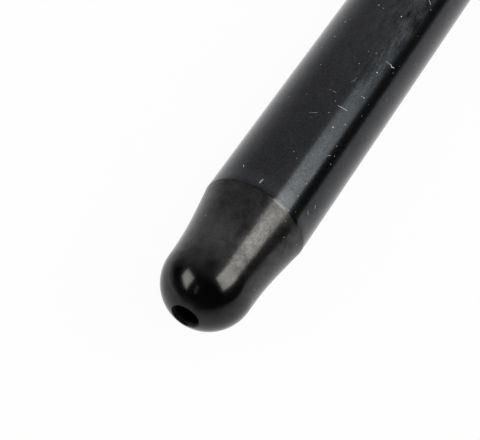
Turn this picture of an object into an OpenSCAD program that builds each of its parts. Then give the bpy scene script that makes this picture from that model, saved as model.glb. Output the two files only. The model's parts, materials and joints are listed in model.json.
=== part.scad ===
// Engine pushrod: one steel tube, swaged at both ends to a ball that is pierced by an oil hole.
// The rod lies along X with its middle at the origin. Millimetres.

/* [Tube] */
// Outside diameter of the ground tube, 3/8 in
tube_d = 9.525; // [8.6:0.025:12]
// Wall thickness of the tube, 0.080 in
wall = 2.032; // [1.2:0.001:2.8]
// Length over the two balls, as if no oil hole pierced their tips
overall_l = 210.3; // [120:0.1:300]

/* [Ball ends] */
// Diameter of each ball, 5/16 in
ball_d = 7.9375; // [6.5:0.0125:8.5]
// Ball centre to the shoulder, where the ground tube stops
shoulder_l = 7.2; // [6:0.1:12]
// Depth of the shoulder, from the tube down to the taper
shoulder_step = 0.06; // [0.03:0.01:0.2]
// Radius of the shoulder's rounded edge
shoulder_r = 0.7; // [0.3:0.05:1]
// Ball centre to the corner between the ball's side and the taper, which the hollow blend rounds off
corner_l = 2.2; // [1:0.1:2.8]

/* [Oil passage] */
// Diameter of the oil hole through each ball
oil_hole_d = 2.2; // [1.5:0.05:3.2]
// Depth of the countersink, from where the plain oil hole would break through the ball
countersink_l = 0.4; // [0.1:0.05:0.8]
// Half angle of the countersink, as a centre drill leaves it
countersink_half_angle = 30; // [20:1:60]
// Half angle of the neck that the swaging leaves between the tube's bore and the oil hole
neck_half_angle = 30; // [15:1:60]
// Shoulder to the wide end of that neck, inwards along the tube
neck_inset = 0; // [0:0.5:10]

/* [Hidden] */
$fn = 96;
black_oxide = "#26272a";

tube_r = tube_d / 2;
bore_r = tube_r - wall;
ball_r = ball_d / 2;
oil_hole_r = oil_hole_d / 2;
end_margin = 1;

// The taper is a straight line from the corner to the foot of the shoulder.
taper_top_r = tube_r - shoulder_step;
taper_angle = atan((taper_top_r - ball_r) / (shoulder_l - corner_l));

// The blend is an arc tangent to the ball at its equator and to the taper, as far past the corner.
blend_r = corner_l / tan(taper_angle / 2);
blend_overlap = 0.0002;
blend_centre = [ball_r + blend_r, 0];
blend_end = blend_centre + (blend_r - blend_overlap) * [-cos(taper_angle), sin(taper_angle)];

// The shoulder's rounded edge runs from the top of the taper to the tube, which it crosses by the overlap.
shoulder_overlap = 0.0002;
shoulder_centre_r = tube_r - shoulder_r + shoulder_overlap;
shoulder_reach = sqrt(pow(shoulder_r, 2) - pow(taper_top_r - shoulder_centre_r, 2));
shoulder_centre_y = shoulder_l + shoulder_reach;

// The oil hole's mouth and neck, measured from the ball's centre.
mouth_y = -sqrt(ball_r * ball_r - oil_hole_r * oil_hole_r);
neck_wide_y = shoulder_l + neck_inset;
neck_narrow_y = neck_wide_y - (bore_r - oil_hole_r) / tan(neck_half_angle);

// The 2D sections below have the rod's axis along Y and radii along X.

// Moves an end's section from the ball's centre to both ends of the rod.
module at_both_ends() {
    for (side = [0, 1])
        mirror([0, side, 0])
            translate([0, -overall_l / 2])
                translate([0, ball_r])
                    children();
}

// Half section of one end without its passage: ball, hollow blend, taper, rounded shoulder and the tube's start.
module end_form() {
    taper_run_on = shoulder_reach / 2;
    circle(ball_r);
    difference() {
        polygon([
            [0, 0],
            blend_centre,
            blend_end,
            [taper_top_r + taper_run_on * tan(taper_angle), shoulder_l + taper_run_on],
            [shoulder_centre_r, shoulder_centre_y],
            [shoulder_centre_r, shoulder_centre_y + end_margin],
            [0, shoulder_centre_y + end_margin]
        ]);
        translate([ball_r, 0])
            translate([blend_r, 0])
                circle(blend_r);
    }
    translate([shoulder_centre_r, shoulder_centre_y])
        circle(shoulder_r);
    translate([0, shoulder_centre_y])
        square([tube_r + 2 * end_margin, 2 * end_margin]);
}

// What the swaging and the ball's forming take off the tube's outside at one end.
module end_waste() {
    waste_start = ball_r + 2 * end_margin;
    difference() {
        translate([0, -waste_start])
            square([tube_r + end_margin, waste_start + shoulder_centre_y + end_margin]);
        end_form();
    }
}

// Half section of the oil passage at one end: countersink, hole and neck.
module end_passage() {
    outside_y = -ball_r - 2 * end_margin;
    countersink_y = mouth_y + countersink_l;
    cutter_r = oil_hole_r + (countersink_y - outside_y) * tan(countersink_half_angle);
    polygon([
        [0, outside_y],
        [cutter_r, outside_y],
        [oil_hole_r, countersink_y],
        [oil_hole_r, neck_narrow_y],
        [bore_r, neck_wide_y],
        [bore_r, neck_wide_y + end_margin],
        [0, neck_wide_y + end_margin]
    ]);
}

// Half section of the tube's bore between the two necks, whose straight mouths it overlaps.
module tube_bore() {
    bore_l = overall_l - 2 * (ball_r + neck_wide_y) - end_margin;
    translate([0, -bore_l / 2])
        square([bore_r, bore_l]);
}

module pushrod() {
    blank_l = overall_l + 2 * end_margin;
    color(black_oxide)
        rotate([0, 90, 0])
            rotate_extrude()
                difference() {
                    translate([0, -blank_l / 2])
                        square([tube_r, blank_l]);
                    at_both_ends() end_waste();
                    at_both_ends() end_passage();
                    tube_bore();
                }
}

pushrod();
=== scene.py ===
"""Looks of the engine pushrod: a black oxide rod lying in a white studio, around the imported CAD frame.

Everything is in metres and in the frame's own axes, and the angles in fields are in degrees.
The rod lies along X, and the photographed ball is at -X.
"""

import json
import logging
import math
from dataclasses import dataclass
from enum import Enum
from functools import reduce
from typing import Any, Optional, Union

import bpy
from mathutils import Matrix, Vector


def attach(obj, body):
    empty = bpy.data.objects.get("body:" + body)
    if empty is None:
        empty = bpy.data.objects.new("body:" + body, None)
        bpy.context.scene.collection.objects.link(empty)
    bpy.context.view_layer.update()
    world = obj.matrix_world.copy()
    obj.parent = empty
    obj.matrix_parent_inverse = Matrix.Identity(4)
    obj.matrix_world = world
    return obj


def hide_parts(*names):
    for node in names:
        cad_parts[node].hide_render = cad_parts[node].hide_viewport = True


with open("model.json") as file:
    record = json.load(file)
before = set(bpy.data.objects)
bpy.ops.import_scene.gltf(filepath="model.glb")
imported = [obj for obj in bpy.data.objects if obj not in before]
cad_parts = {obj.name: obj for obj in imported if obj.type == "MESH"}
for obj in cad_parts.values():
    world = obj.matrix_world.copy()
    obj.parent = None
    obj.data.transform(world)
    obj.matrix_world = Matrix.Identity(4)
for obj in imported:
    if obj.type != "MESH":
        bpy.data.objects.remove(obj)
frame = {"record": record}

LOG = logging.getLogger("pushrod")
MM = 0.001
# A Noise Texture keeps near the middle of its range, so it is spread this many times as wide, round 0.
NOISE_SPREAD = 4.0
# A Mix node's sockets for colours share their names with those for numbers, so they are found by number.
MIX_FIRST, MIX_SECOND, MIX_RESULT = 6, 7, 2

Socket = bpy.types.NodeSocket
Colour = tuple[float, float, float]
Triple = tuple[float, float, float]
Pair = tuple[float, float]
Pixel = tuple[float, float]


def grey(level: float) -> Colour:
    """Gives a plain grey."""
    return (level, level, level)


def placed(name: str, data: Any) -> bpy.types.Object:
    """Puts a mesh or a camera in the scene.

    Args:
        name: The object's name.
        data: What it shows.

    Returns:
        The object.
    """
    thing = bpy.data.objects.new(name, data)
    bpy.context.scene.collection.objects.link(thing)
    return thing


class Value:
    """A node socket that carries a number, with Python's operators."""

    def __init__(self, nodes: "Nodes", socket: Socket) -> None:
        """Keeps the socket and the tree it belongs to."""
        self.nodes = nodes
        self.socket = socket

    def math(self, operation: str, *others: "Number") -> "Value":
        """Adds a Math node that takes this value first and the others after it."""
        node = self.nodes.add("ShaderNodeMath", {"operation": operation}, dict(enumerate((self, *others))))
        return Value(self.nodes, node.outputs["Value"])

    def reflected(self, operation: str, first: float) -> "Value":
        """Adds a Math node that takes a plain number first and this value second."""
        node = self.nodes.add("ShaderNodeMath", {"operation": operation}, dict(enumerate((first, self))))
        return Value(self.nodes, node.outputs["Value"])

    def __add__(self, other: "Number") -> "Value":
        """Adds."""
        return self.math("ADD", other)

    __radd__ = __add__

    def __sub__(self, other: "Number") -> "Value":
        """Takes away."""
        return self.math("SUBTRACT", other)

    def __rsub__(self, other: float) -> "Value":
        """Is taken away from a number."""
        return self.reflected("SUBTRACT", other)

    def __mul__(self, other: "Number") -> "Value":
        """Multiplies."""
        return self.math("MULTIPLY", other)

    __rmul__ = __mul__

    def __pow__(self, other: "Number") -> "Value":
        """Raises to a power."""
        return self.math("POWER", other)

    def __rpow__(self, other: float) -> "Value":
        """Is the power that a number is raised to."""
        return self.reflected("POWER", other)

    def __neg__(self) -> "Value":
        """Turns the sign."""
        return self.math("MULTIPLY", -1.0)

    def __abs__(self) -> "Value":
        """Drops the sign."""
        return self.math("ABSOLUTE")

    def most(self, other: "Number") -> "Value":
        """Takes the larger of the two."""
        return self.math("MAXIMUM", other)

    def ramp(self, start: float, end: float) -> "Value":
        """Runs smoothly from 0 at start to 1 at end, which may be the lower of the two."""
        return self.mapped("SMOOTHSTEP", start, end)

    def slope(self, start: float, end: float) -> "Value":
        """Runs straight from 0 at start to 1 at end, which may be the lower of the two."""
        return self.mapped("LINEAR", start, end)

    def mapped(self, kind: str, start: float, end: float) -> "Value":
        """Adds a clamped Map Range node.

        Args:
            kind: Its interpolation.
            start: Where the result is 0.
            end: Where the result is 1.

        Returns:
            The node's result.
        """
        settings = {"interpolation_type": kind, "clamp": True}
        sockets = {"Value": self, "From Min": start, "From Max": end}
        node = self.nodes.add("ShaderNodeMapRange", settings, sockets)
        return Value(self.nodes, node.outputs["Result"])


Number = Union[Value, float]


class Nodes:
    """A node tree, and the one method that adds to it."""

    def __init__(self, tree: bpy.types.NodeTree) -> None:
        """Keeps the tree and empties it."""
        self.tree = tree
        self.tree.nodes.clear()

    def add(self, kind: str, settings: dict[str, Any], sockets: dict[Any, Any]) -> bpy.types.Node:
        """Adds a node.

        Args:
            kind: The node's type.
            settings: Its properties, which are set first.
            sockets: Its inputs by name or number, each a plain value, a Value, or another node's output.

        Returns:
            The node.
        """
        node = self.tree.nodes.new(kind)
        for name, setting in settings.items():
            setattr(node, name, setting)
        for key, given in sockets.items():
            given = given.socket if isinstance(given, Value) else given
            if isinstance(given, Socket):
                self.tree.links.new(given, node.inputs[key])
            else:
                node.inputs[key].default_value = given
        return node

    def value(self, socket: Socket) -> Value:
        """Wraps an output socket."""
        return Value(self, socket)

    def axes(self, vector: Socket) -> tuple[Value, Value, Value]:
        """Splits a vector into its X, Y and Z."""
        node = self.add("ShaderNodeSeparateXYZ", {}, {"Vector": vector})
        return self.value(node.outputs["X"]), self.value(node.outputs["Y"]), self.value(node.outputs["Z"])

    def joined(self, x: Number, y: Number, z: Number = 0.0) -> Socket:
        """Makes a vector of its X, Y and Z."""
        return self.add("ShaderNodeCombineXYZ", {}, {"X": x, "Y": y, "Z": z}).outputs["Vector"]

    def vector_math(self, operation: str, *inputs: Any, **named: Any) -> bpy.types.Node:
        """Adds a Vector Math node, whose inputs are given in order or by name."""
        sockets = {**dict(enumerate(inputs)), **named}
        return self.add("ShaderNodeVectorMath", {"operation": operation}, sockets)

    def object_place(self) -> Socket:
        """Gives the shaded point in the object's own coordinates."""
        return self.add("ShaderNodeTexCoord", {}, {}).outputs["Object"]

    def mixed(self, share: Value, first: Any, second: Any) -> Socket:
        """Mixes two colours.

        Args:
            share: How much of the second there is.
            first: The first colour, or its socket.
            second: The second colour, or its socket.

        Returns:
            The mixed colour's socket.
        """
        first, second = ((*c, 1.0) if isinstance(c, tuple) else c for c in (first, second))
        sockets = {"Factor": share, MIX_FIRST: first, MIX_SECOND: second}
        return self.add("ShaderNodeMix", {"data_type": "RGBA"}, sockets).outputs[MIX_RESULT]

    def scaled(self, colour: Socket, factor: Value) -> Socket:
        """Makes a colour that many times as light."""
        return self.vector_math("SCALE", colour, Scale=factor).outputs["Vector"]


def new_material(name: str) -> tuple[bpy.types.Material, Nodes]:
    """Makes a material.

    Args:
        name: The material's name.

    Returns:
        The material and its empty tree.
    """
    material = bpy.data.materials.new(name)
    material.use_nodes = True
    return material, Nodes(material.node_tree)


@dataclass(frozen=True)
class PhotoCamera:
    """The photograph's camera, whose place follows from the pixel that the ball's centre falls on."""

    width_px: int = 480
    height_px: int = 440
    lens_mm: float = 116.83
    sensor_mm: float = 36.0
    clip_start: float = 1.0 * MM
    heading: float = 29.43
    elevation: float = 52.09
    ball_px: Pixel = (208.8, 283.2)
    ball_depth: float = 126.3 * MM

    @property
    def focal_px(self) -> float:
        """The focal length in the photograph's pixels."""
        return self.lens_mm / self.sensor_mm * self.width_px

    def axes(self) -> tuple[Vector, Vector, Vector]:
        """Works out how the camera is turned.

        Returns:
            Its right, up and forward directions.
        """
        heading, elevation = math.radians(self.heading), math.radians(self.elevation)
        flat = Vector((math.cos(heading), math.sin(heading), 0))
        forward = flat * math.cos(elevation) + Vector((0, 0, -math.sin(elevation)))
        right = forward.cross(Vector((0, 0, 1))).normalized()
        return right, right.cross(forward), forward

    def ray(self, pixel: Pixel) -> Vector:
        """Gives the direction through a pixel of the photograph, at a depth of 1 along the view.

        Args:
            pixel: Across and down from the photograph's upper left corner.

        Returns:
            The direction.
        """
        right, up, forward = self.axes()
        across = (pixel[0] - self.width_px / 2) / self.focal_px
        down = (pixel[1] - self.height_px / 2) / self.focal_px
        return forward + right * across - up * down

    def place(self, ball: Vector) -> Vector:
        """Gives the camera's place from the photographed ball's centre."""
        return ball - self.ray(self.ball_px) * self.ball_depth

    def build(self, ball: Vector) -> bpy.types.Object:
        """Makes the scene's camera.

        Args:
            ball: The photographed ball's centre.

        Returns:
            The camera.
        """
        data = bpy.data.cameras.new("photo_camera")
        data.lens, data.sensor_width = self.lens_mm, self.sensor_mm
        data.clip_start = self.clip_start
        camera = placed("photo_camera", data)
        right, up, forward = self.axes()
        turn = Matrix((right, up, -forward)).transposed()
        camera.matrix_world = Matrix.Translation(self.place(ball)) @ turn.to_4x4()
        bpy.context.scene.camera = camera
        return camera


@dataclass(frozen=True)
class Spot:
    """The shaded point of the rod, in the terms that the finish is laid out in.

    The chart is the surface unrolled at the tube's radius: along the rod, and round it from the top
    towards the camera. The turn is the angle round the axis the same way, in degrees. Inward is the
    distance along the axis from the shoulder's foot towards the ball.
    """

    nodes: Nodes
    place: Socket
    chart: Socket
    along: Value
    from_axis: Value
    turn: Value
    inward: Value

    @classmethod
    def on(cls, rod: "Pushrod", nodes: Nodes) -> "Spot":
        """Adds the nodes that find the point.

        Args:
            rod: The rod that is shaded.
            nodes: The material's tree.

        Returns:
            The point.
        """
        place = nodes.object_place()
        along, across, up = nodes.axes(place)
        angle = (-across).math("ARCTAN2", up)
        return cls(
            nodes=nodes,
            place=place,
            chart=nodes.joined(along, angle * rod.tube_r),
            along=along,
            from_axis=(across * across + up * up).math("SQRT"),
            turn=angle.math("DEGREES"),
            inward=abs(along) - rod.shoulder_x,
        )


class Tone(Enum):
    """How plainly a speck or a hair of lint shows."""

    FAINT = 0.25
    CLEAR = 0.42
    STRONG = 0.6
    BRIGHT = 1.0


@dataclass(frozen=True)
class Speck:
    """A grain of dust at a pixel of the photograph."""

    pixel: Pixel
    tone: Tone


@dataclass(frozen=True)
class Hair:
    """A hair of lint or a scratch along some of the photograph's pixels. Its usual width is 1."""

    pixels: tuple[Pixel, ...]
    tone: Tone
    width: float = 1.0


@dataclass(frozen=True)
class Lint:
    """The dust and lint on the rod: what the photograph shows, and a scatter like it everywhere else."""

    colour: Colour = (0.70, 0.70, 0.70)
    roughness: float = 0.6
    speck_r: float = 0.088 * MM
    hair_r: float = 0.055 * MM
    scatter_cell: float = 2.6 * MM
    scatter_share: float = 0.35
    scatter_tone: float = 0.35
    scatter_start: float = -42.0 * MM
    scatter_run_in: float = 4.0 * MM
    specks: tuple[Speck, ...] = (
        Speck(pixel=(378.8, 5.1), tone=Tone.BRIGHT),
        Speck(pixel=(383.4, 8.2), tone=Tone.CLEAR),
        Speck(pixel=(401.4, 16.4), tone=Tone.BRIGHT),
        Speck(pixel=(430.8, 9.7), tone=Tone.CLEAR),
        Speck(pixel=(344.1, 17.3), tone=Tone.FAINT),
        Speck(pixel=(350.2, 19.4), tone=Tone.FAINT),
        Speck(pixel=(334.7, 36.4), tone=Tone.BRIGHT),
        Speck(pixel=(321.7, 47.2), tone=Tone.CLEAR),
        Speck(pixel=(320.7, 64.6), tone=Tone.CLEAR),
        Speck(pixel=(359.1, 63.4), tone=Tone.CLEAR),
        Speck(pixel=(368.8, 51.6), tone=Tone.CLEAR),
        Speck(pixel=(376.3, 53.0), tone=Tone.CLEAR),
        Speck(pixel=(377.1, 72.5), tone=Tone.BRIGHT),
        Speck(pixel=(399.2, 66.3), tone=Tone.FAINT),
        Speck(pixel=(393.0, 73.0), tone=Tone.CLEAR),
        Speck(pixel=(417.9, 36.2), tone=Tone.FAINT),
        Speck(pixel=(415.9, 63.8), tone=Tone.CLEAR),
        Speck(pixel=(306.8, 94.0), tone=Tone.FAINT),
        Speck(pixel=(288.5, 96.4), tone=Tone.FAINT),
        Speck(pixel=(335.2, 101.0), tone=Tone.CLEAR),
        Speck(pixel=(328.9, 112.5), tone=Tone.CLEAR),
        Speck(pixel=(368.9, 104.6), tone=Tone.FAINT),
        Speck(pixel=(386.3, 99.4), tone=Tone.FAINT),
        Speck(pixel=(362.0, 116.0), tone=Tone.CLEAR),
        Speck(pixel=(345.2, 124.5), tone=Tone.CLEAR),
        Speck(pixel=(333.0, 127.2), tone=Tone.BRIGHT),
        Speck(pixel=(336.8, 146.2), tone=Tone.CLEAR),
        Speck(pixel=(293.8, 151.4), tone=Tone.CLEAR),
        Speck(pixel=(296.7, 158.2), tone=Tone.FAINT),
        Speck(pixel=(334.4, 156.0), tone=Tone.CLEAR),
        Speck(pixel=(330.7, 164.2), tone=Tone.CLEAR),
        Speck(pixel=(306.5, 183.8), tone=Tone.FAINT),
        Speck(pixel=(298.2, 195.6), tone=Tone.FAINT),
        Speck(pixel=(295.6, 211.8), tone=Tone.FAINT),
        Speck(pixel=(285.7, 221.3), tone=Tone.FAINT),
        Speck(pixel=(283.8, 237.2), tone=Tone.CLEAR),
        Speck(pixel=(296.3, 244.8), tone=Tone.CLEAR),
        Speck(pixel=(205.6, 215.0), tone=Tone.CLEAR),
        Speck(pixel=(254.6, 289.7), tone=Tone.CLEAR),
    )
    hairs: tuple[Hair, ...] = (
        Hair(pixels=((386.4, 61.2), (389.0, 63.8), (391.0, 64.9)), tone=Tone.FAINT),
        Hair(pixels=((391.0, 64.9), (391.6, 67.2), (394.0, 67.9)), tone=Tone.STRONG, width=1.4),
        Hair(pixels=((338.0, 105.6), (347.1, 110.7)), tone=Tone.STRONG, width=0.7),
        Hair(pixels=((308.9, 112.8), (313.0, 112.6)), tone=Tone.FAINT, width=0.75),
        Hair(pixels=((313.0, 112.6), (317.0, 112.5)), tone=Tone.CLEAR, width=0.7),
        Hair(pixels=((259.6, 182.7), (262.7, 179.5)), tone=Tone.STRONG, width=1.6),
        Hair(pixels=((243.5, 164.8), (243.8, 167.0)), tone=Tone.BRIGHT, width=0.6),
        Hair(pixels=((429.3, 0.5), (430.4, 4.2)), tone=Tone.STRONG, width=0.85),
        Hair(pixels=((344.4, 22.6), (346.0, 21.0)), tone=Tone.STRONG, width=0.9),
        Hair(pixels=((351.2, 81.6), (354.0, 80.8), (356.8, 77.5)), tone=Tone.FAINT, width=0.75),
        Hair(pixels=((329.3, 89.6), (331.2, 89.8)), tone=Tone.FAINT),
        Hair(pixels=((333.2, 91.0), (336.0, 92.5)), tone=Tone.CLEAR, width=0.7),
        Hair(pixels=((361.4, 96.4), (364.5, 98.0)), tone=Tone.CLEAR, width=0.65),
        Hair(pixels=((327.7, 155.6), (330.4, 155.6)), tone=Tone.CLEAR, width=0.65),
        Hair(pixels=((307.9, 211.0), (308.4, 214.5)), tone=Tone.CLEAR),
        Hair(pixels=((315.4, 205.4), (315.2, 208.2)), tone=Tone.CLEAR),
    )

    def speck(self, spot: Spot, place: Vector) -> Value:
        """Masks one grain of dust at a place of the chart."""
        apart = spot.nodes.vector_math("DISTANCE", spot.chart, place).outputs["Value"]
        return spot.nodes.value(apart).ramp(self.speck_r, 0.0)

    def hair(self, spot: Spot, start: Vector, end: Vector, width: float) -> Value:
        """Masks one straight stretch of a hair.

        Args:
            spot: The shaded point.
            start: Where the stretch starts on the chart.
            end: Where it ends.
            width: Its width as a share of the usual.

        Returns:
            The mask.
        """
        nodes, stretch = spot.nodes, end - start
        away = nodes.vector_math("SUBTRACT", spot.chart, start).outputs["Vector"]
        reach = nodes.vector_math("DOT_PRODUCT", away, stretch / stretch.length_squared).outputs["Value"]
        share = nodes.value(reach).slope(0.0, 1.0)
        foot = nodes.vector_math("SCALE", stretch, Scale=share).outputs["Vector"]
        apart = nodes.vector_math("DISTANCE", away, foot).outputs["Value"]
        return nodes.value(apart).ramp(self.hair_r * width, 0.0)

    def scatter(self, spot: Spot) -> Value:
        """Masks a scatter of dust on the part of the rod that the photograph doesn't show.

        Args:
            spot: The shaded point.

        Returns:
            The mask.
        """
        nodes = spot.nodes
        settings = {"voronoi_dimensions": "2D", "feature": "F1"}
        sockets = {"Vector": spot.chart, "Scale": 1 / self.scatter_cell}
        cells = nodes.add("ShaderNodeTexVoronoi", settings, sockets)
        lot, strength, _ = nodes.axes(cells.outputs["Color"])
        grain = nodes.value(cells.outputs["Distance"]).ramp(self.speck_r / self.scatter_cell, 0.0)
        drawn = lot.math("LESS_THAN", self.scatter_share)
        unseen = spot.along.ramp(self.scatter_start, self.scatter_start + self.scatter_run_in)
        return grain * drawn * unseen * strength * self.scatter_tone

    def mask(self, spot: Spot, rod: "Pushrod") -> Value:
        """Masks all the dust and lint.

        Args:
            spot: The shaded point.
            rod: The rod that it lies on.

        Returns:
            The mask.
        """
        marks = [self.speck(spot, rod.charted(speck.pixel)) * speck.tone.value for speck in self.specks]
        for hair in self.hairs:
            places = [rod.charted(pixel) for pixel in hair.pixels]
            for start, end in zip(places, places[1:]):
                marks.append(self.hair(spot, start, end, hair.width) * hair.tone.value)
        return reduce(Value.most, marks, self.scatter(spot))


@dataclass(frozen=True)
class PaintedShadingPatch:
    """A soft patch of painted highlight with a positive depth, or painted shade with a negative one."""

    inward: float
    reach: float
    turn: float
    spread: float
    depth: float

    def shade(self, spot: Spot) -> Value:
        """Gives how much lighter the patch's painted highlight or painted shade makes the steel.

        Args:
            spot: The shaded point.

        Returns:
            The share that is added to the steel's tint.
        """
        along = (spot.inward - self.inward) * (1 / self.reach)
        round_axis = (spot.turn - self.turn) * (1 / self.spread)
        return (along * along + round_axis * round_axis).math("SQRT").ramp(1.0, 0.0) * self.depth


@dataclass(frozen=True)
class Sector:
    """A sector round the rod's axis that fades out to its spread, past a core that is a share of it."""

    turn: float
    spread: float
    core: float = 0.5

    def mask(self, spot: Spot) -> Value:
        """Masks the sector."""
        return abs(spot.turn - self.turn).ramp(self.spread, self.spread * self.core)


@dataclass(frozen=True)
class Mottle:
    """An unevenness of the steel: the size of its blotches, and how many finer layers it has."""

    size: float
    layers: float

    def noise(self, nodes: Nodes, place: Socket) -> Value:
        """Adds the unevenness round 0, nearly all of it between -1 and 1.

        Args:
            nodes: The material's tree.
            place: Where it is read.

        Returns:
            The unevenness.
        """
        sockets = {"Vector": place, "Scale": 1 / self.size, "Detail": self.layers}
        node = nodes.add("ShaderNodeTexNoise", {}, sockets)
        return nodes.value(node.outputs["Fac"]) * NOISE_SPREAD - NOISE_SPREAD / 2


@dataclass(frozen=True)
class BlackOxide:
    """Black oxide on steel: a dark mirror on the ground tube, duller and mottled on the swaged ends."""

    tube_tint: Colour = (0.0434, 0.0444, 0.0484)
    end_tint: Colour = (0.0507, 0.0482, 0.0484)
    lip_and_highlight_tint: Colour = (0.0770, 0.0755, 0.0745)
    hole_tint: Colour = (0.0160, 0.0160, 0.0160)
    rim_reflection_tint: Colour = (0.150, 0.146, 0.142)
    least_shade: float = 0.2
    tube_roughness: float = 0.18
    taper_roughness: float = 0.21
    shoulder_roughness: float = 0.28
    ball_roughness: float = 0.17
    hole_roughness: float = 0.5
    edge_l: float = 0.03 * MM
    dull_start: float = 1.6 * MM
    dull_end: float = 0.4 * MM
    ball_run_in: float = 1.0 * MM
    ball_evenness: float = 0.6
    rubbed_start: float = 0.15 * MM
    rubbed_l: float = 0.5 * MM
    rubbed_end: float = 2.0 * MM
    rubbed_depth: float = 0.30
    # The lip's brighter steel is partly real burnished wear and partly a painted highlight, kept to one
    # sector.
    lip_place: float = 0.03 * MM
    lip_l: float = 0.16 * MM
    lip_highlight_sector: Sector = Sector(turn=33.0, spread=10.0)
    # The rim's lighter band on one side is a painted reflection of the floor.
    rim_reflection_width: float = 0.15 * MM
    rim_reflection_sector: Sector = Sector(turn=122.0, spread=55.0)
    # Painted highlights and painted shade in the steel's reflections, patch by patch.
    painted_shading_patches: tuple[PaintedShadingPatch, ...] = (
        PaintedShadingPatch(inward=4.9 * MM, reach=2.5 * MM, turn=-6.0, spread=42.0, depth=0.8),
        PaintedShadingPatch(inward=0.6 * MM, reach=1.4 * MM, turn=23.0, spread=9.5, depth=-0.5),
        PaintedShadingPatch(inward=0.4 * MM, reach=0.5 * MM, turn=58.0, spread=10.0, depth=0.8),
        PaintedShadingPatch(inward=0.3 * MM, reach=0.7 * MM, turn=-36.0, spread=14.0, depth=-0.4),
        PaintedShadingPatch(inward=0.8 * MM, reach=1.0 * MM, turn=72.0, spread=16.0, depth=0.3),
        PaintedShadingPatch(inward=3.4 * MM, reach=4.6 * MM, turn=54.0, spread=8.0, depth=0.8),
        PaintedShadingPatch(inward=-24.0 * MM, reach=16.0 * MM, turn=8.0, spread=26.0, depth=0.35),
        PaintedShadingPatch(inward=0.5 * MM, reach=1.0 * MM, turn=-12.0, spread=18.0, depth=0.3),
        PaintedShadingPatch(inward=-20.0 * MM, reach=8.0 * MM, turn=44.0, spread=9.0, depth=-0.35),
        PaintedShadingPatch(inward=-18.2 * MM, reach=5.0 * MM, turn=28.5, spread=9.5, depth=-0.55),
        PaintedShadingPatch(inward=-27.3 * MM, reach=6.0 * MM, turn=40.0, spread=14.0, depth=-0.5),
        PaintedShadingPatch(inward=-26.8 * MM, reach=3.5 * MM, turn=24.0, spread=8.0, depth=0.4),
        PaintedShadingPatch(inward=9.1 * MM, reach=1.1 * MM, turn=33.0, spread=18.0, depth=-0.5),
        PaintedShadingPatch(inward=7.9 * MM, reach=0.9 * MM, turn=11.0, spread=15.0, depth=-0.65),
        PaintedShadingPatch(inward=7.9 * MM, reach=0.8 * MM, turn=-32.0, spread=12.0, depth=-0.45),
        PaintedShadingPatch(inward=4.1 * MM, reach=1.6 * MM, turn=15.5, spread=6.0, depth=-0.5),
        PaintedShadingPatch(inward=5.7 * MM, reach=1.2 * MM, turn=40.0, spread=7.0, depth=-0.35),
        PaintedShadingPatch(inward=-24.5 * MM, reach=1.2 * MM, turn=35.5, spread=16.0, depth=-0.36),
        PaintedShadingPatch(inward=-21.7 * MM, reach=1.2 * MM, turn=38.0, spread=10.0, depth=-0.4),
        PaintedShadingPatch(inward=-18.4 * MM, reach=1.5 * MM, turn=26.5, spread=10.0, depth=0.4),
        PaintedShadingPatch(inward=-16.4 * MM, reach=1.9 * MM, turn=34.0, spread=12.0, depth=-0.2),
        PaintedShadingPatch(inward=-4.6 * MM, reach=1.8 * MM, turn=43.5, spread=5.0, depth=0.45),
        PaintedShadingPatch(inward=2.1 * MM, reach=1.0 * MM, turn=41.5, spread=8.0, depth=-0.4),
        PaintedShadingPatch(inward=2.4 * MM, reach=0.6 * MM, turn=31.5, spread=5.0, depth=0.4),
        PaintedShadingPatch(inward=3.8 * MM, reach=0.9 * MM, turn=33.0, spread=7.0, depth=0.2),
        PaintedShadingPatch(inward=4.4 * MM, reach=0.8 * MM, turn=46.5, spread=5.0, depth=0.5),
    )
    wisp: Mottle = Mottle(size=0.36 * MM, layers=3.0)
    wisp_drawn_out: float = 4.0
    wisp_depth: float = 0.5
    haze_start: float = 8.0 * MM
    haze_end: float = 24.0 * MM
    haze_sector: Sector = Sector(turn=26.0, spread=32.0, core=1 / 3)
    haze_roughness: float = 0.05
    smudge: Mottle = Mottle(size=2.4 * MM, layers=3.0)
    smudge_depth: float = 0.12
    mottle: Mottle = Mottle(size=0.9 * MM, layers=4.0)
    mottle_depth: float = 0.36
    grain: Mottle = Mottle(size=0.16 * MM, layers=2.0)
    tube_grain_depth: float = 0.34
    end_grain_depth: float = 0.30
    grain_height: float = 1.2e-6
    lint: Lint = Lint()

    def swaged(self, spot: Spot) -> Value:
        """Masks the swaged end, from the shoulder's foot to the ball's tip."""
        return spot.inward.ramp(-self.edge_l, self.edge_l)

    def ball(self, spot: Spot, rod: "Pushrod") -> Value:
        """Masks the ball."""
        return spot.inward.ramp(rod.shoulder_l - self.ball_run_in, rod.shoulder_l + self.ball_run_in)

    def hole(self, spot: Spot, rod: "Pushrod") -> Value:
        """Masks the oil hole and its countersink."""
        return spot.from_axis.ramp(rod.rim_r, rod.rim_r - self.edge_l)

    def haze(self, spot: Spot) -> Value:
        """Masks the smoky haze that an oily hand has left on the tube."""
        return self.haze_sector.mask(spot) * spot.inward.ramp(-self.haze_start, -self.haze_end)

    def on_tube(self, spot: Spot, grains: Value) -> Value:
        """Makes the tube uneven: smudges, grain, a band rubbed at the shoulder, and wisps in the haze.

        Args:
            spot: The shaded point.
            grains: The steel's grain.

        Returns:
            The share that is added to the tube's tint.
        """
        nodes, inward = spot.nodes, spot.inward
        rubbed = inward.ramp(-self.rubbed_start, -self.rubbed_start - self.rubbed_l)
        rubbed = rubbed * inward.ramp(-self.rubbed_end, -self.rubbed_end + 2 * self.rubbed_l)
        drawn = nodes.vector_math("MULTIPLY", spot.place, (1 / self.wisp_drawn_out, 1.0, 1.0))
        wisps = self.wisp.noise(nodes, drawn.outputs["Vector"]) * self.haze(spot)
        smudges = self.smudge.noise(nodes, spot.place)
        uneven = smudges * self.smudge_depth + grains * self.tube_grain_depth
        return uneven + rubbed * self.rubbed_depth + wisps * self.wisp_depth

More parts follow.
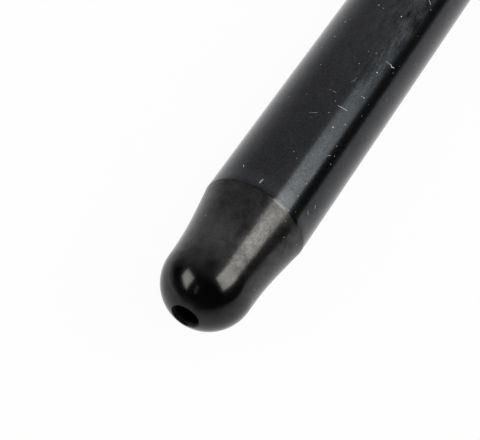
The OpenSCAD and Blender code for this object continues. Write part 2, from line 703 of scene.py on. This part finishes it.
    def on_end(self, spot: Spot, grains: Value, ball: Value) -> Value:
        """Makes the swaged end uneven, and the ball less so, as a share that is added to the end's tint."""
        mottles = self.mottle.noise(spot.nodes, spot.place) * self.mottle_depth
        return (mottles + grains * self.end_grain_depth) * (1 - ball * self.ball_evenness)

    def tint(self, spot: Spot, grains: Value, ball: Value) -> Socket:
        """Colours the steel outside the hole.

        Args:
            spot: The shaded point.
            grains: The steel's grain.
            ball: The ball's mask.

        Returns:
            The colour's socket.
        """
        nodes, swaged = spot.nodes, self.swaged(spot)
        even = 1 + self.on_tube(spot, grains) * (1 - swaged) + self.on_end(spot, grains, ball) * swaged
        # The patches add painted highlights and painted shade to the steel's tint.
        shade = sum((patch.shade(spot) for patch in self.painted_shading_patches), even).most(self.least_shade)
        steel = nodes.scaled(nodes.mixed(swaged, self.tube_tint, self.end_tint), shade)
        # The burnished lip is brightened only where it mirrors the soft box: partly real wear, partly a
        # painted highlight.
        lip_and_highlight = abs(spot.inward - self.lip_place).ramp(self.lip_l, self.edge_l) * self.lip_highlight_sector.mask(spot)
        return nodes.mixed(lip_and_highlight, steel, self.lip_and_highlight_tint)

    def inside(self, spot: Spot, rod: "Pushrod") -> Socket:
        """Colours the oil hole and its countersink, whose rim carries a painted reflection of the floor on
        one side.
        """
        # The lighter band on one side of the rim is a painted reflection of the floor.
        floor_reflection = self.rim_reflection_sector.mask(spot) * spot.from_axis.ramp(rod.rim_r - self.rim_reflection_width, rod.rim_r)
        return spot.nodes.mixed(floor_reflection, self.hole_tint, self.rim_reflection_tint)

    def roughness(self, spot: Spot, ball: Value) -> Value:
        """Gives the sheen: ground tube, dull ring below the shoulder, satin taper and smoother ball.

        Args:
            spot: The shaded point.
            ball: The ball's mask.

        Returns:
            The roughness.
        """
        dull = spot.inward.ramp(self.dull_start, self.dull_end)
        end = self.taper_roughness + dull * (self.shoulder_roughness - self.taper_roughness)
        end = end + ball * (self.ball_roughness - self.taper_roughness)
        tube = self.tube_roughness + self.haze(spot) * self.haze_roughness
        return tube + self.swaged(spot) * (end - tube)

    def material(self, rod: "Pushrod") -> bpy.types.Material:
        """Makes the material.

        Args:
            rod: The rod that wears it, whose sizes place the finish.

        Returns:
            The material.
        """
        material, nodes = new_material("black_oxide_steel")
        spot = Spot.on(rod, nodes)
        lint = self.lint.mask(spot, rod)
        ball, hole = self.ball(spot, rod), self.hole(spot, rod)
        grains = self.grain.noise(nodes, spot.place)
        steel = nodes.mixed(hole, self.tint(spot, grains, ball), self.inside(spot, rod))
        roughness = self.roughness(spot, ball).most(hole * self.hole_roughness)
        height = grains * spot.inward.ramp(0.0, self.edge_l) * (1 - ball)
        rise = {"Strength": 1.0, "Distance": self.grain_height, "Height": height}
        sockets = {
            "Base Color": nodes.mixed(lint, steel, self.lint.colour),
            "Roughness": roughness + lint * (self.lint.roughness - self.tube_roughness),
            "Metallic": 1 - lint,
            "Normal": nodes.add("ShaderNodeBump", {}, rise).outputs["Normal"],
        }
        shader = nodes.add("ShaderNodeBsdfPrincipled", {}, sockets)
        nodes.add("ShaderNodeOutputMaterial", {}, {"Surface": shader.outputs["BSDF"]})
        return material


@dataclass(frozen=True)
class Pushrod:
    """The rod, turned as one closed section: tube, rounded shoulders, tapers, balls and the oil passage."""

    tube_r: float
    ball_r: float
    ball_x: float
    hole_r: float
    camera: PhotoCamera
    shoulder_l: float = 7.2 * MM
    shoulder_step: float = 0.06 * MM
    shoulder_r: float = 0.7 * MM
    corner_l: float = 2.2 * MM
    wall: float = 2.032 * MM
    countersink_l: float = 0.4 * MM
    countersink_half_angle: float = 30.0
    neck_half_angle: float = 30.0
    segments: int = 192
    ball_steps: int = 48
    blend_steps: int = 16
    shoulder_steps: int = 10
    merge_distance: float = 0.5e-6
    sharp_angle: float = 15.0
    chart_passes: int = 8
    finish: BlackOxide = BlackOxide()

    @classmethod
    def from_record(cls, record: dict[str, Any], camera: PhotoCamera) -> "Pushrod":
        """Reads the rod's sizes off the record's mounts.

        Args:
            record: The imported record.
            camera: The photograph's camera, which places the dust.

        Returns:
            The rod.
        """
        mounts = {mount["name"]: mount for mount in record["mounts"]}
        return cls(
            tube_r=mounts["shank"]["dims"]["r_mm"] * MM,
            ball_r=mounts["near_ball"]["dims"]["r_mm"] * MM,
            ball_x=abs(mounts["near_ball"]["pos_m"][0]),
            hole_r=mounts["near_oil_hole"]["dims"]["r_mm"] * MM,
            camera=camera,
        )

    @property
    def bore_r(self) -> float:
        """The radius of the tube's bore."""
        return self.tube_r - self.wall

    @property
    def shoulder_x(self) -> float:
        """The distance of the shoulder's foot from the rod's middle."""
        return self.ball_x - self.shoulder_l

    @property
    def near_ball(self) -> Vector:
        """The centre of the photographed ball."""
        return Vector((-self.ball_x, 0, 0))

    @property
    def taper_top_r(self) -> float:
        """The taper's radius at the shoulder's foot."""
        return self.tube_r - self.shoulder_step

    @property
    def taper_angle(self) -> float:
        """The taper's angle to the rod's axis, in radians."""
        return math.atan2(self.taper_top_r - self.ball_r, self.shoulder_l - self.corner_l)

    @property
    def blend_r(self) -> float:
        """The radius of the hollow blend between ball and taper."""
        return self.corner_l / math.tan(self.taper_angle / 2)

    @property
    def hole_start(self) -> float:
        """The place where the countersink ends and the plain oil hole starts, from the ball's centre."""
        return self.countersink_l - math.sqrt(self.ball_r**2 - self.hole_r**2)

    @property
    def rim_angle(self) -> float:
        """The angle at the ball's centre from its equator to the countersink's rim, in radians."""
        slope = math.tan(math.radians(self.countersink_half_angle))
        # The countersink's straight side is carried on to the ball's middle, and then met with the ball.
        side_r = self.hole_r + self.hole_start * slope
        rim = (side_r * slope - math.sqrt((1 + slope**2) * self.ball_r**2 - side_r**2)) / (1 + slope**2)
        return math.asin(rim / self.ball_r)

    @property
    def rim_r(self) -> float:
        """The radius of the countersink's rim."""
        return self.ball_r * math.cos(self.rim_angle)

    def radius_at(self, along: float) -> float:
        """Gives the outside radius.

        Args:
            along: The place along the axis, from the photographed ball's centre towards the rod's middle.

        Returns:
            The radius.
        """
        if along < 0:
            return math.sqrt(max(self.ball_r**2 - along**2, 0.0))
        if along < self.blend_r * math.sin(self.taper_angle):
            return self.ball_r + self.blend_r - math.sqrt(self.blend_r**2 - along**2)
        if along < self.shoulder_l:
            return self.taper_top_r - (self.shoulder_l - along) * math.tan(self.taper_angle)
        return self.tube_r

    def charted(self, pixel: Pixel) -> Vector:
        """Finds where the camera's ray through a pixel meets the rod.

        Args:
            pixel: Across and down from the photograph's upper left corner.

        Returns:
            The place on the chart: along the rod, and round it at the tube's radius.
        """
        eye, ray = self.camera.place(self.near_ball), self.camera.ray(pixel)
        square = ray.y**2 + ray.z**2
        half = eye.y * ray.y + eye.z * ray.z
        radius = self.tube_r
        for _ in range(self.chart_passes):
            inside = half**2 - square * (eye.y**2 + eye.z**2 - radius**2)
            hit = eye + ray * ((-half - math.sqrt(max(inside, 0.0))) / square)
            radius = self.radius_at(hit.x + self.ball_x)
        return Vector((hit.x, math.atan2(-hit.y, hit.z) * self.tube_r, 0.0))

    def sizes(self) -> dict[str, float]:
        """Works out the inputs of the lathe's tree.

        Returns:
            The inputs by name. Places along the axis are measured from the ball's centre.
        """
        neck_l = (self.bore_r - self.hole_r) / math.tan(math.radians(self.neck_half_angle))
        return {
            "Ball Place": self.ball_x,
            "Ball Radius": self.ball_r,
            "Rim Angle": self.rim_angle,
            "Blend Radius": self.blend_r,
            "Taper Angle": self.taper_angle,
            "Shoulder Place": self.shoulder_l,
            "Shoulder Radius": self.shoulder_r,
            "Shoulder Angle": math.acos(1 - self.shoulder_step / self.shoulder_r),
            "Tube Radius": self.tube_r,
            "Bore Radius": self.bore_r,
            "Hole Radius": self.hole_r,
            "Hole Start": self.hole_start,
            "Neck Start": self.shoulder_l - neck_l,
        }

    def build(self) -> bpy.types.Object:
        """Turns the rod and dresses it.

        Returns:
            The rod as a plain mesh object.
        """
        tree = Lathe(self).build(self.finish.material(self))
        blank = placed("blank", bpy.data.meshes.new("blank"))
        modifier = blank.modifiers.new("turned", "NODES")
        modifier.node_group = tree
        sizes = self.sizes()
        for item in tree.interface.items_tree:
            if item.in_out == "INPUT":
                modifier[item.identifier] = sizes[item.name]
        evaluated = blank.evaluated_get(bpy.context.evaluated_depsgraph_get())
        mesh = bpy.data.meshes.new_from_object(evaluated)
        blank.modifiers.remove(modifier)
        bpy.data.objects.remove(blank)
        mesh.name = "rod"
        mesh.set_sharp_from_angle(angle=math.radians(self.sharp_angle))
        return placed("rod", mesh)


class Lathe:
    """The node tree that turns the rod from the arcs and lines of its half section."""

    def __init__(self, rod: Pushrod) -> None:
        """Makes an empty tree with an input for each of the rod's sizes.

        Args:
            rod: The rod to turn.
        """
        self.rod = rod
        tree = bpy.data.node_groups.new("turned_rod", "GeometryNodeTree")
        tree.interface.new_socket("Geometry", in_out="OUTPUT", socket_type="NodeSocketGeometry")
        for name in rod.sizes():
            tree.interface.new_socket(name, in_out="INPUT", socket_type="NodeSocketFloat")
        self.nodes = Nodes(tree)
        self.inputs = self.nodes.add("NodeGroupInput", {}, {})

    def size(self, name: str) -> Value:
        """Gives one of the tree's inputs."""
        return self.nodes.value(self.inputs.outputs[name])

    def line(self, start: Socket, end: Socket) -> Socket:
        """Makes a straight stretch of the section."""
        line = self.nodes.add("GeometryNodeCurvePrimitiveLine", {}, {"Start": start, "End": end})
        return line.outputs["Curve"]

    def lines(self, places: list[Socket]) -> list[Socket]:
        """Makes a straight stretch from each place to the next."""
        return [self.line(start, end) for start, end in zip(places, places[1:])]

    def arc(self, centre: Socket, radius: Number, start: Number, sweep: Number, steps: int) -> Socket:
        """Makes a round stretch of the section.

        Args:
            centre: The arc's centre.
            radius: Its radius.
            start: The angle where it starts.
            sweep: The angle that it turns through.
            steps: How many straight steps it is made of.

        Returns:
            The curve's socket.
        """
        sockets = {"Resolution": steps + 1, "Radius": radius, "Start Angle": start, "Sweep Angle": sweep}
        arc = self.nodes.add("GeometryNodeCurveArc", {"mode": "RADIUS"}, sockets)
        return self.moved(arc.outputs["Curve"], {"Translation": centre})

    def moved(self, part: Socket, how: dict[str, Any]) -> Socket:
        """Moves or turns geometry by a Transform node's inputs."""
        return self.nodes.add("GeometryNodeTransform", {}, {"Geometry": part, **how}).outputs["Geometry"]

    def join(self, parts: list[Socket]) -> Socket:
        """Joins geometry.

        Args:
            parts: The sockets to join.

        Returns:
            The joined geometry's socket.
        """
        node = self.nodes.add("GeometryNodeJoinGeometry", {}, {})
        for part in parts:
            self.nodes.tree.links.new(part, node.inputs["Geometry"])
        return node.outputs["Geometry"]

    def passage(self) -> list[Socket]:
        """Makes the inside of one end, from the bore's middle through neck and oil hole to the countersink.

        Returns:
            The curves' sockets.
        """
        size, point = self.size, self.nodes.joined
        ball_r, rim = size("Ball Radius"), size("Rim Angle")
        bore_r, hole_r = size("Bore Radius"), size("Hole Radius")
        places = [
            point(bore_r, size("Ball Place")),
            point(bore_r, size("Shoulder Place")),
            point(hole_r, size("Neck Start")),
            point(hole_r, size("Hole Start")),
            point(ball_r * rim.math("COSINE"), ball_r * rim.math("SINE")),
        ]
        return self.lines(places)

    def outside(self) -> list[Socket]:
        """Makes the outside of one end: ball, hollow blend, taper, rounded shoulder and half the tube.

        Returns:
            The curves' sockets.
        """
        rod, size, point = self.rod, self.size, self.nodes.joined
        ball_r, rim = size("Ball Radius"), size("Rim Angle")
        blend_r, taper = size("Blend Radius"), size("Taper Angle")
        tube_r, shoulder = size("Tube Radius"), size("Shoulder Place")
        edge_r, edge_angle = size("Shoulder Radius"), size("Shoulder Angle")
        blend_centre, edge_centre = ball_r + blend_r, tube_r - edge_r
        edge_top = shoulder + edge_r * edge_angle.math("SINE")
        taper_start = point(blend_centre - blend_r * taper.math("COSINE"), blend_r * taper.math("SINE"))
        taper_end = point(edge_centre + edge_r * edge_angle.math("COSINE"), shoulder)
        # A short first stretch of tube keeps the rounded edge from shading the long one.
        tube = [point(tube_r, place) for place in (edge_top, edge_top + edge_r, size("Ball Place"))]
        return [
            self.arc(point(0.0, 0.0), ball_r, rim, -rim, rod.ball_steps),
            self.arc(point(blend_centre, 0.0), blend_r, math.pi, -taper, rod.blend_steps),
            self.line(taper_start, taper_end),
            self.arc(point(edge_centre, edge_top), edge_r, -edge_angle, edge_angle, rod.shoulder_steps),
            *self.lines(tube),
        ]

    def build(self, material: bpy.types.Material) -> bpy.types.NodeTree:
        """Turns the section round the axis, copies the end to the other side and closes the middle.

        Args:
            material: The rod's finish.

        Returns:
            The tree.
        """
        nodes, rod, tube_r = self.nodes, self.rod, self.size("Tube Radius")
        sockets = {"Resolution": rod.segments, "Radius": tube_r}
        circle = nodes.add("GeometryNodeCurvePrimitiveCircle", {"mode": "RADIUS"}, sockets).outputs["Curve"]
        path = nodes.add("GeometryNodeSetCurveNormal", {"mode": "Z_UP"}, {"Curve": circle}).outputs["Curve"]
        section = self.join([*self.passage(), *self.outside()])
        section = self.moved(section, {"Translation": nodes.joined(-tube_r, -self.size("Ball Place"))})
        turned = nodes.add("GeometryNodeCurveToMesh", {}, {"Curve": path, "Profile Curve": section})
        near = self.moved(turned.outputs["Mesh"], {"Rotation": (0.0, -math.pi / 2, 0.0)})
        far = self.moved(near, {"Rotation": (0.0, 0.0, math.pi)})
        sockets = {"Geometry": self.join([near, far]), "Distance": rod.merge_distance}
        closed = nodes.add("GeometryNodeMergeByDistance", {}, sockets).outputs["Geometry"]
        real = nodes.add("GeometryNodeRealizeInstances", {}, {"Geometry": closed}).outputs["Geometry"]
        dressed = nodes.add("GeometryNodeSetMaterial", {}, {"Geometry": real, "Material": material})
        nodes.add("NodeGroupOutput", {}, {"Geometry": dressed.outputs["Geometry"]})
        return nodes.tree


@dataclass(frozen=True)
class WhitePaper:
    """The floor's white paper: it shows as plain white, with only a faint shadow of the rod."""

    albedo: Colour = (0.8, 0.8, 0.8)
    evenness: float = 0.96

    def material(self) -> bpy.types.Material:
        """Makes the material.

        Returns:
            The material.
        """
        material, nodes = new_material("white_paper")
        path = nodes.add("ShaderNodeLightPath", {}, {})
        kinds = ("Is Camera Ray", "Is Glossy Ray", "Is Transmission Ray")
        seen = reduce(Value.most, (nodes.value(path.outputs[kind]) for kind in kinds))
        paper = nodes.add("ShaderNodeBsdfDiffuse", {}, {"Color": (*self.albedo, 1.0)})
        white = nodes.add("ShaderNodeEmission", {}, {"Color": (1.0, 1.0, 1.0, 1.0), "Strength": 1.0})
        inputs = (seen * self.evenness, paper.outputs["BSDF"], white.outputs["Emission"])
        mix = nodes.add("ShaderNodeMixShader", {}, dict(enumerate(inputs)))
        nodes.add("ShaderNodeOutputMaterial", {}, {"Surface": mix.outputs["Shader"]})
        return material


@dataclass(frozen=True)
class Fade:
    """A fade across a card, from its own tint at start to the rest colour at end.

    A bend over 1 makes it quicker at first.
    """

    direction: Triple
    start: float
    end: float
    rest: Colour
    bend: float = 1.0

    def left(self, nodes: Nodes, origin: Vector) -> Value:
        """Gives how much of the card's own tint is left.

        Args:
            nodes: The material's tree.
            origin: The point that the fade is measured from.

        Returns:
            The share.
        """
        away = nodes.vector_math("SUBTRACT", nodes.object_place(), origin).outputs["Vector"]
        reach = nodes.vector_math("DOT_PRODUCT", away, self.direction).outputs["Value"]
        return nodes.value(reach).slope(self.end, self.start) ** self.bend


@dataclass(frozen=True)
class Glow:
    """A light of one radiance, which may fade across its card: a soft box's front, grey card or cloth."""

    radiance: float
    fade: Optional[Fade] = None
    tint: Colour = (1.0, 1.0, 1.0)

    def material(self, name: str, origin: Vector) -> bpy.types.Material:
        """Makes the material.

        Args:
            name: The material's name.
            origin: The point that the fade is measured from.

        Returns:
            The material.
        """
        material, nodes = new_material(name)
        colour: Any = (*self.tint, 1.0)
        if self.fade:
            colour = nodes.mixed(self.fade.left(nodes, origin), self.fade.rest, self.tint)
        light = nodes.add("ShaderNodeEmission", {}, {"Color": colour, "Strength": self.radiance})
        nodes.add("ShaderNodeOutputMaterial", {}, {"Surface": light.outputs["Emission"]})
        return material


@dataclass(frozen=True)
class Card:
    """A four-cornered card, whose corners are measured from the photographed ball's centre."""

    name: str
    corners: tuple[Triple, ...]
    glow: Glow

    @classmethod
    def upright(cls, name: str, start: Pair, end: Pair, low: Pair, high: Pair, glow: Glow) -> "Card":
        """Stands a card on its plan, with the heights of its lower and upper edge at start and end."""
        return cls(name, ((*start, low[0]), (*end, low[1]), (*end, high[1]), (*start, high[0])), glow)

    @classmethod
    def lying(cls, name: str, start: Pair, end: Pair, height: float, glow: Glow) -> "Card":
        """Lays a card flat between two opposite corners of its plan."""
        plan = (start, (end[0], start[1]), end, (start[0], end[1]))
        return cls(name, tuple((*corner, height) for corner in plan), glow)

    @classmethod
    def sighted(cls, name: str, distance: float, sights: tuple[Pair, ...], glow: Glow) -> "Card":
        """Hangs a card by the directions that its corners are seen in from the ball.

        Args:
            name: Its name.
            distance: How far its corners are.
            sights: The azimuth and the elevation of each corner, in degrees.
            glow: Its light.

        Returns:
            The card.
        """
        corners = []
        for azimuth, elevation in sights:
            turn, rise = math.radians(azimuth), math.radians(elevation)
            flat = distance * math.cos(rise)
            corners.append((flat * math.cos(turn), flat * math.sin(turn), distance * math.sin(rise)))
        return cls(name, tuple(corners), glow)

    def build(self, origin: Vector) -> bpy.types.Object:
        """Makes the card, which the camera doesn't see.

        Args:
            origin: The photographed ball's centre.

        Returns:
            The object.
        """
        mesh = bpy.data.meshes.new(self.name)
        mesh.from_pydata([origin + Vector(corner) for corner in self.corners], [], [(0, 1, 2, 3)])
        mesh.materials.append(self.glow.material(self.name, origin))
        card = placed(self.name, mesh)
        card.visible_camera = False
        return card


@dataclass(frozen=True)
class Studio:
    """A white floor, soft boxes, a pale room with a dark back, and the cards that the rod mirrors."""

    ball: Vector
    floor_z: float
    floor_side: float = 6.0
    horizon: float = 0.88
    ceiling: float = 0.5
    ceiling_rise: float = 0.5
    back_share: float = 0.1
    back_end: float = -0.4
    back_start: float = 0.35
    box_tint: Colour = (0.985, 1.025, 0.965)
    side_box_radiance: float = 5.2
    left_box_radiance: float = 3.4
    slit_radiance: float = 0.8
    cloth_radiance: float = 0.03
    front_x: float = -0.064
    side_y: float = -0.060
    left_y: float = 0.030
    skirt_z: float = 0.009
    apron_lift: float = 0.02 * MM
    paper: WhitePaper = WhitePaper()

    def boxes(self) -> list[Card]:
        """Lists the soft boxes.

        Returns:
            The cards.
        """
        side_fade = Fade(direction=(1.0, 0.0, -0.5), start=0.136, end=0.339, rest=(0.110, 0.123, 0.129))
        side_glow = Glow(self.side_box_radiance, side_fade, self.box_tint)
        start, end = (-0.181, -0.45), (0.70, -0.45)
        sights = ((123.3, 25.2), (152.6, 20.6), (150.0, 51.0), (109.4, 44.9))
        left_glow = Glow(self.left_box_radiance, tint=self.box_tint)
        return [
            Card.upright("side_box", start, end, low=(0.256, 0.105), high=(0.840, 0.675), glow=side_glow),
            Card.sighted("left_box", distance=0.45, sights=sights, glow=left_glow),
        ]

    def flags(self) -> list[Card]:
        """Lists the dark flags along the rod and round the ball, the left one's skirt, and a slit of light.

        Returns:
            The cards.
        """
        feet, skirt_top = (self.floor_z, self.floor_z), (self.skirt_z, self.skirt_z)
        side_start, side_bend, side_end = ((x, self.side_y) for x in (self.front_x, 0.12, 0.30))
        front_start, front_end = ((self.front_x, y) for y in (-0.113, self.left_y))
        left_end = (0.008, 0.058)
        front_fade = Fade(direction=(0.0, -0.3, 1.0), start=-0.002, end=0.010, rest=grey(0.23))
        left_fade = Fade(direction=(1.0, 0.0, 0.0), start=0.012, end=-0.012, rest=grey(0.06))
        skirt_fade = Fade(direction=(-0.2, 0.0, 1.0), start=0.0007, end=0.0127, rest=grey(0.1))
        cloth = Glow(self.cloth_radiance)
        front_glow = Glow(radiance=0.13, fade=front_fade)
        left_glow = Glow(radiance=0.35, fade=left_fade)
        skirt_glow = Glow(radiance=0.55, fade=skirt_fade)
        sights = ((174.0, 24.5), (177.5, 24.5), (179.5, 43.0), (175.0, 43.0))
        return [
            Card.upright("side_flag", side_start, side_bend, feet, high=(0.0355, 0.0195), glow=cloth),
            Card.upright("far_flag", side_bend, side_end, feet, high=(0.0195, 0.0195), glow=cloth),
            Card.upright("front_flag", front_start, front_end, feet, high=(0.110, 0.110), glow=front_glow),
            Card.upright("left_flag", front_end, left_end, skirt_top, high=(0.026, 0.034), glow=left_glow),
            Card.upright("left_skirt", front_end, left_end, feet, high=skirt_top, glow=skirt_glow),
            Card.sighted("slit", distance=0.055, sights=sights, glow=Glow(self.slit_radiance)),
        ]

    def aprons(self) -> list[Card]:
        """Lists the aprons that lie on the floor to the left and to the right of the rod's axis.

        Returns:
            The cards.
        """
        height = self.floor_z + self.apron_lift
        left_way, right_way = (-1.0, 0.0, 0.0), (-0.953, -0.302, 0.0)
        left_fade = Fade(left_way, start=-0.0076, end=0.0894, rest=grey(0.255), bend=2.5)
        right_fade = Fade(right_way, start=0.0017, end=0.0892, rest=grey(0.033), bend=4.0)
        left_glow, right_glow = Glow(radiance=1.02, fade=left_fade), Glow(radiance=0.89, fade=right_fade)
        left, right = (self.front_x, 0.0), (self.front_x, self.side_y)
        return [
            Card.lying("left_apron", start=left, end=(0.050, self.left_y), height=height, glow=left_glow),
            Card.lying("right_apron", start=right, end=(0.150, 0.0), height=height, glow=right_glow),
        ]

    def floor(self) -> bpy.types.Object:
        """Lays the floor.

        Returns:
            The floor.
        """
        side = self.floor_side / 2
        corners = [(x * side, y * side, self.floor_z) for x, y in ((-1, -1), (1, -1), (1, 1), (-1, 1))]
        mesh = bpy.data.meshes.new("floor")
        mesh.from_pydata(corners, [], [(0, 1, 2, 3)])
        mesh.materials.append(self.paper.material())
        floor = placed("floor", mesh)
        return floor

    def room(self) -> bpy.types.World:
        """Makes the room: pale at the horizon, greyer overhead and dark above the camera's back.

        Returns:
            The world.
        """
        world = bpy.data.worlds.new("studio_room")
        world.use_nodes = True
        bpy.context.scene.world = world
        nodes = Nodes(world.node_tree)
        ahead, _, height = nodes.axes(nodes.add("ShaderNodeTexCoord", {}, {}).outputs["Generated"])
        share = self.back_share + ahead.slope(self.back_end, self.back_start) * (1 - self.back_share)
        light = self.horizon + height.slope(0.0, self.ceiling_rise) * (share * self.ceiling - self.horizon)
        sockets = {"Color": nodes.joined(light, light, light), "Strength": 1.0}
        glow = nodes.add("ShaderNodeBackground", {}, sockets)
        nodes.add("ShaderNodeOutputWorld", {}, {"Surface": glow.outputs["Background"]})
        return world

    def build(self) -> None:
        """Sets up the whole studio."""
        LOG.info("room: %s", self.room().name)
        LOG.info("stage: %s", self.floor().name)
        for box in self.boxes():
            LOG.info("lamp: %s", box.build(self.ball).name)
        for mirrored in (*self.flags(), *self.aprons()):
            card = mirrored.build(self.ball)
            card.visible_diffuse = card.visible_shadow = card.visible_transmission = False
            LOG.info("stage: %s", card.name)


def main() -> None:
    """Builds the camera, the rod and the studio in order."""
    logging.basicConfig(level=logging.INFO)
    bpy.context.scene.view_settings.view_transform = "Standard"
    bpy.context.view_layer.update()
    camera = PhotoCamera()
    rod = Pushrod.from_record(frame["record"], camera)
    LOG.info("camera: %s", camera.build(rod.near_ball).name)
    piece = rod.build()
    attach(piece, "root")
    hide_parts("pushrod")
    LOG.info("piece: %s, %d faces", piece.name, len(piece.data.polygons))
    Studio(rod.near_ball, -rod.tube_r).build()


if __name__ == "__main__":
    main()
